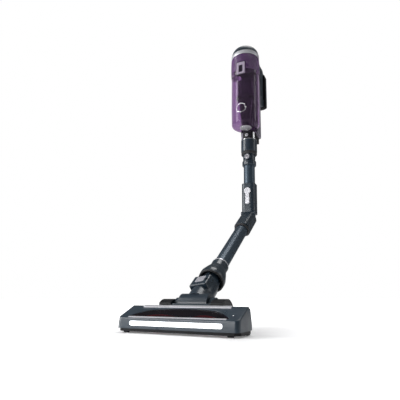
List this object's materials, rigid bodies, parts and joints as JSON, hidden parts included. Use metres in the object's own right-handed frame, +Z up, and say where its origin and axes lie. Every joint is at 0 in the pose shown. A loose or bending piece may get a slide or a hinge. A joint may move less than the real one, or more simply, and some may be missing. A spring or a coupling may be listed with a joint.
{
  "type": "cordless stick vacuum",
  "caption": "Cordless stick vacuum: wide floor head with a powered brush, folding wand with a flex joint, and a hand unit with a clear dust cup, loop grip and battery.",
  "frame": {"origin": "middle of the hand grip", "axes": "+Z up, +Y to the back of the vacuum, +X to its left side seen from the front; standing in use with the head flat on the floor"},
  "size_m": [0.26, 0.615, 0.9072],
  "materials": {
    "slate_plastic": "satin dark blue-grey mouldings",
    "slate_tube": "dark blue-grey painted tube",
    "light_plastic": "pale grey satin mouldings",
    "bright_trim": "bright silver trim",
    "black_plastic": "black moulded plastic",
    "rubber_black": "soft black rubber",
    "tyre_grey": "soft tyre",
    "purple_clear": "clear purple plastic",
    "lens_clear": "clear lens",
    "lamp_board": "board with white lamps",
    "steel": "plain steel",
    "hose_black": "ribbed black hose",
    "brush_red": "red roller",
    "bristle_black": "black bristle",
    "beater_red": "red soft strips",
    "motor_dark": "dark motor can",
    "filter_foam": "foam",
    "screen_metal": "perforated screen",
    "cell_wrap": "wrapped cells",
    "board_green": "circuit board",
    "warm_button": "silver-grey button"
  },
  "bodies": {
    "hand_unit": {"spine_housing": "light_plastic", "lid_shell": "purple_clear", "cap_ring": "bright_trim", "motor_cap": "slate_plastic", "grip_handle": "slate_plastic", "inlet_nozzle": "slate_plastic", "fan_motor": "motor_dark", "foam_filter": "filter_foam", "circuit_board": "board_green"},
    "cup": {"dust_cup": "purple_clear", "cup_badge": "warm_button", "cyclone_cone": "purple_clear", "mesh_screen": "screen_metal"},
    "lid_release": {"lid_latch": "purple_clear"},
    "fan": {"impeller": "black_plastic"},
    "trigger": {"trigger": "black_plastic"},
    "power_button": {"power_button": "light_plastic"},
    "inlet_button": {"inlet_button": "light_plastic"},
    "battery": {"battery_case": "slate_plastic", "battery_cells": "cell_wrap"},
    "wand_upper": {"connector_sleeve": "slate_plastic", "seal_ring": "rubber_black", "lock_collar": "slate_plastic", "upper_tube": "slate_tube", "flex_upper_shell": "slate_plastic", "flex_hose": "hose_black"},
    "wand_button": {"wand_button": "warm_button"},
    "flex_release": {"flex_release": "warm_button"},
    "wand_lower": {"flex_lower_shell": "slate_plastic", "flex_pin": "steel", "flex_end_ring": "black_plastic", "lower_tube": "slate_tube", "bell_collar": "slate_plastic", "bell_lip": "black_plastic", "sleeve_ring": "bright_trim"},
    "neck": {"neck_spigot": "slate_plastic", "neck_plate": "light_plastic"},
    "neck_catch": {"neck_catch": "slate_plastic"},
    "barrel": {"neck_barrel": "slate_plastic"},
    "head": {"head_shell": "slate_plastic", "brush_window": "purple_clear", "rear_trim": "bright_trim", "lip_trim": "bright_trim", "led_lens": "lens_clear", "led_strip": "lamp_board", "head_sole": "black_plastic", "rear_bridge": "black_plastic", "sole_screws": "steel", "brush_drive": "motor_dark", "rear_axles": "steel", "pivot_pins": "steel"},
    "brush": {"brush_core": "brush_red", "bristle_strips": "bristle_black", "beater_strips": "beater_red"},
    "rear_wheel_left": {"rear_wheel_left": "black_plastic", "rear_tyre_left": "tyre_grey"},
    "rear_wheel_right": {"rear_wheel_right": "black_plastic", "rear_tyre_right": "tyre_grey"},
    "front_roller_left": {"front_roller_left": "black_plastic"},
    "front_roller_right": {"front_roller_right": "black_plastic"}
  },
  "joints": [
    {"name": "wand_slide", "type": "slide", "parent": "hand_unit", "child": "wand_upper", "axis": [-0.021, -0.0194, -0.9996], "range_m": [0, 0.03]},
    {"name": "cup_release", "type": "slide", "parent": "hand_unit", "child": "cup", "axis": [0.0089, -0.9617, -0.2741], "range_m": [0, 0.06]},
    {"name": "battery_slide", "type": "slide", "parent": "hand_unit", "child": "battery", "axis": [-0.021, -0.0194, -0.9996], "range_m": [0, 0.06]},
    {"name": "latch_press", "type": "slide", "parent": "hand_unit", "child": "lid_release", "axis": [-0.0157, 0.9997, -0.019], "range_m": [0, 0.0015], "stiffness_N_per_m": 600, "springref_m": -0.001},
    {"name": "trigger_pull", "type": "slide", "parent": "hand_unit", "child": "trigger", "axis": [-0.0157, 0.9997, -0.019], "range_m": [0, 0.004], "stiffness_N_per_m": 400, "springref_m": -0.001},
    {"name": "power_press", "type": "slide", "parent": "hand_unit", "child": "power_button", "axis": [-0.021, -0.0194, -0.9996], "range_m": [0, 0.0012], "stiffness_N_per_m": 600, "springref_m": -0.001},
    {"name": "inlet_button_press", "type": "slide", "parent": "hand_unit", "child": "inlet_button", "axis": [-0.0157, 0.9997, -0.019], "range_m": [0, 0.0012], "stiffness_N_per_m": 600, "springref_m": -0.001},
    {"name": "fan_spin", "type": "hinge", "parent": "hand_unit", "child": "fan", "pos_m": [0.00278, -0.13942, 0.03065], "axis": [0.021, 0.0194, 0.9996], "continuous": true},
    {"name": "wand_button_press", "type": "slide", "parent": "wand_upper", "child": "wand_button", "axis": [-0.0157, 0.9997, -0.019], "range_m": [0, 0.0013], "stiffness_N_per_m": 600, "springref_m": -0.001},
    {"name": "flex_release_press", "type": "slide", "parent": "wand_upper", "child": "flex_release", "axis": [-0.0157, 0.9997, -0.019], "range_m": [0, 0.0015], "stiffness_N_per_m": 600, "springref_m": -0.001},
    {"name": "flex_fold", "type": "hinge", "parent": "wand_upper", "child": "wand_lower", "pos_m": [-0.00842, -0.131, -0.49023], "axis": [0.9997, 0.0153, -0.0213], "range_deg": [0, 53.2], "deforming": ["flex_hose"]},
    {"name": "neck_pull", "type": "slide", "parent": "wand_lower", "child": "neck", "axis": [0, -0.8121, -0.5835], "range_m": [0, 0.04]},
    {"name": "neck_catch_press", "type": "slide", "parent": "neck", "child": "neck_catch", "axis": [0.1478, 0.5771, -0.8032], "range_m": [0, 0.0012], "stiffness_N_per_m": 600, "springref_m": -0.001},
    {"name": "neck_swivel", "type": "hinge", "parent": "neck", "child": "barrel", "pos_m": [-0.0088, -0.46056, -0.74489], "axis": [0, 0.8121, 0.5835], "range_deg": [-60, 60]},
    {"name": "neck_pitch", "type": "hinge", "parent": "barrel", "child": "head", "pos_m": [-0.0088, -0.4768, -0.75656], "axis": [1, 0, 0], "range_deg": [-54, 35]},
    {"name": "brush_spin", "type": "hinge", "parent": "head", "child": "brush", "pos_m": [-0.0088, -0.53841, -0.79006], "axis": [1, 0, 0], "continuous": true},
    {"name": "rear_wheel_left_spin", "type": "hinge", "parent": "head", "child": "rear_wheel_left", "pos_m": [-0.0688, -0.48461, -0.77786], "axis": [1, 0, 0], "continuous": true},
    {"name": "rear_wheel_right_spin", "type": "hinge", "parent": "head", "child": "rear_wheel_right", "pos_m": [0.0512, -0.48461, -0.77786], "axis": [1, 0, 0], "continuous": true},
    {"name": "front_roller_left_spin", "type": "hinge", "parent": "head", "child": "front_roller_left", "pos_m": [-0.1198, -0.56341, -0.80386], "axis": [1, 0, 0], "continuous": true},
    {"name": "front_roller_right_spin", "type": "hinge", "parent": "head", "child": "front_roller_right", "pos_m": [0.1022, -0.56341, -0.80386], "axis": [1, 0, 0], "continuous": true}
  ]
}
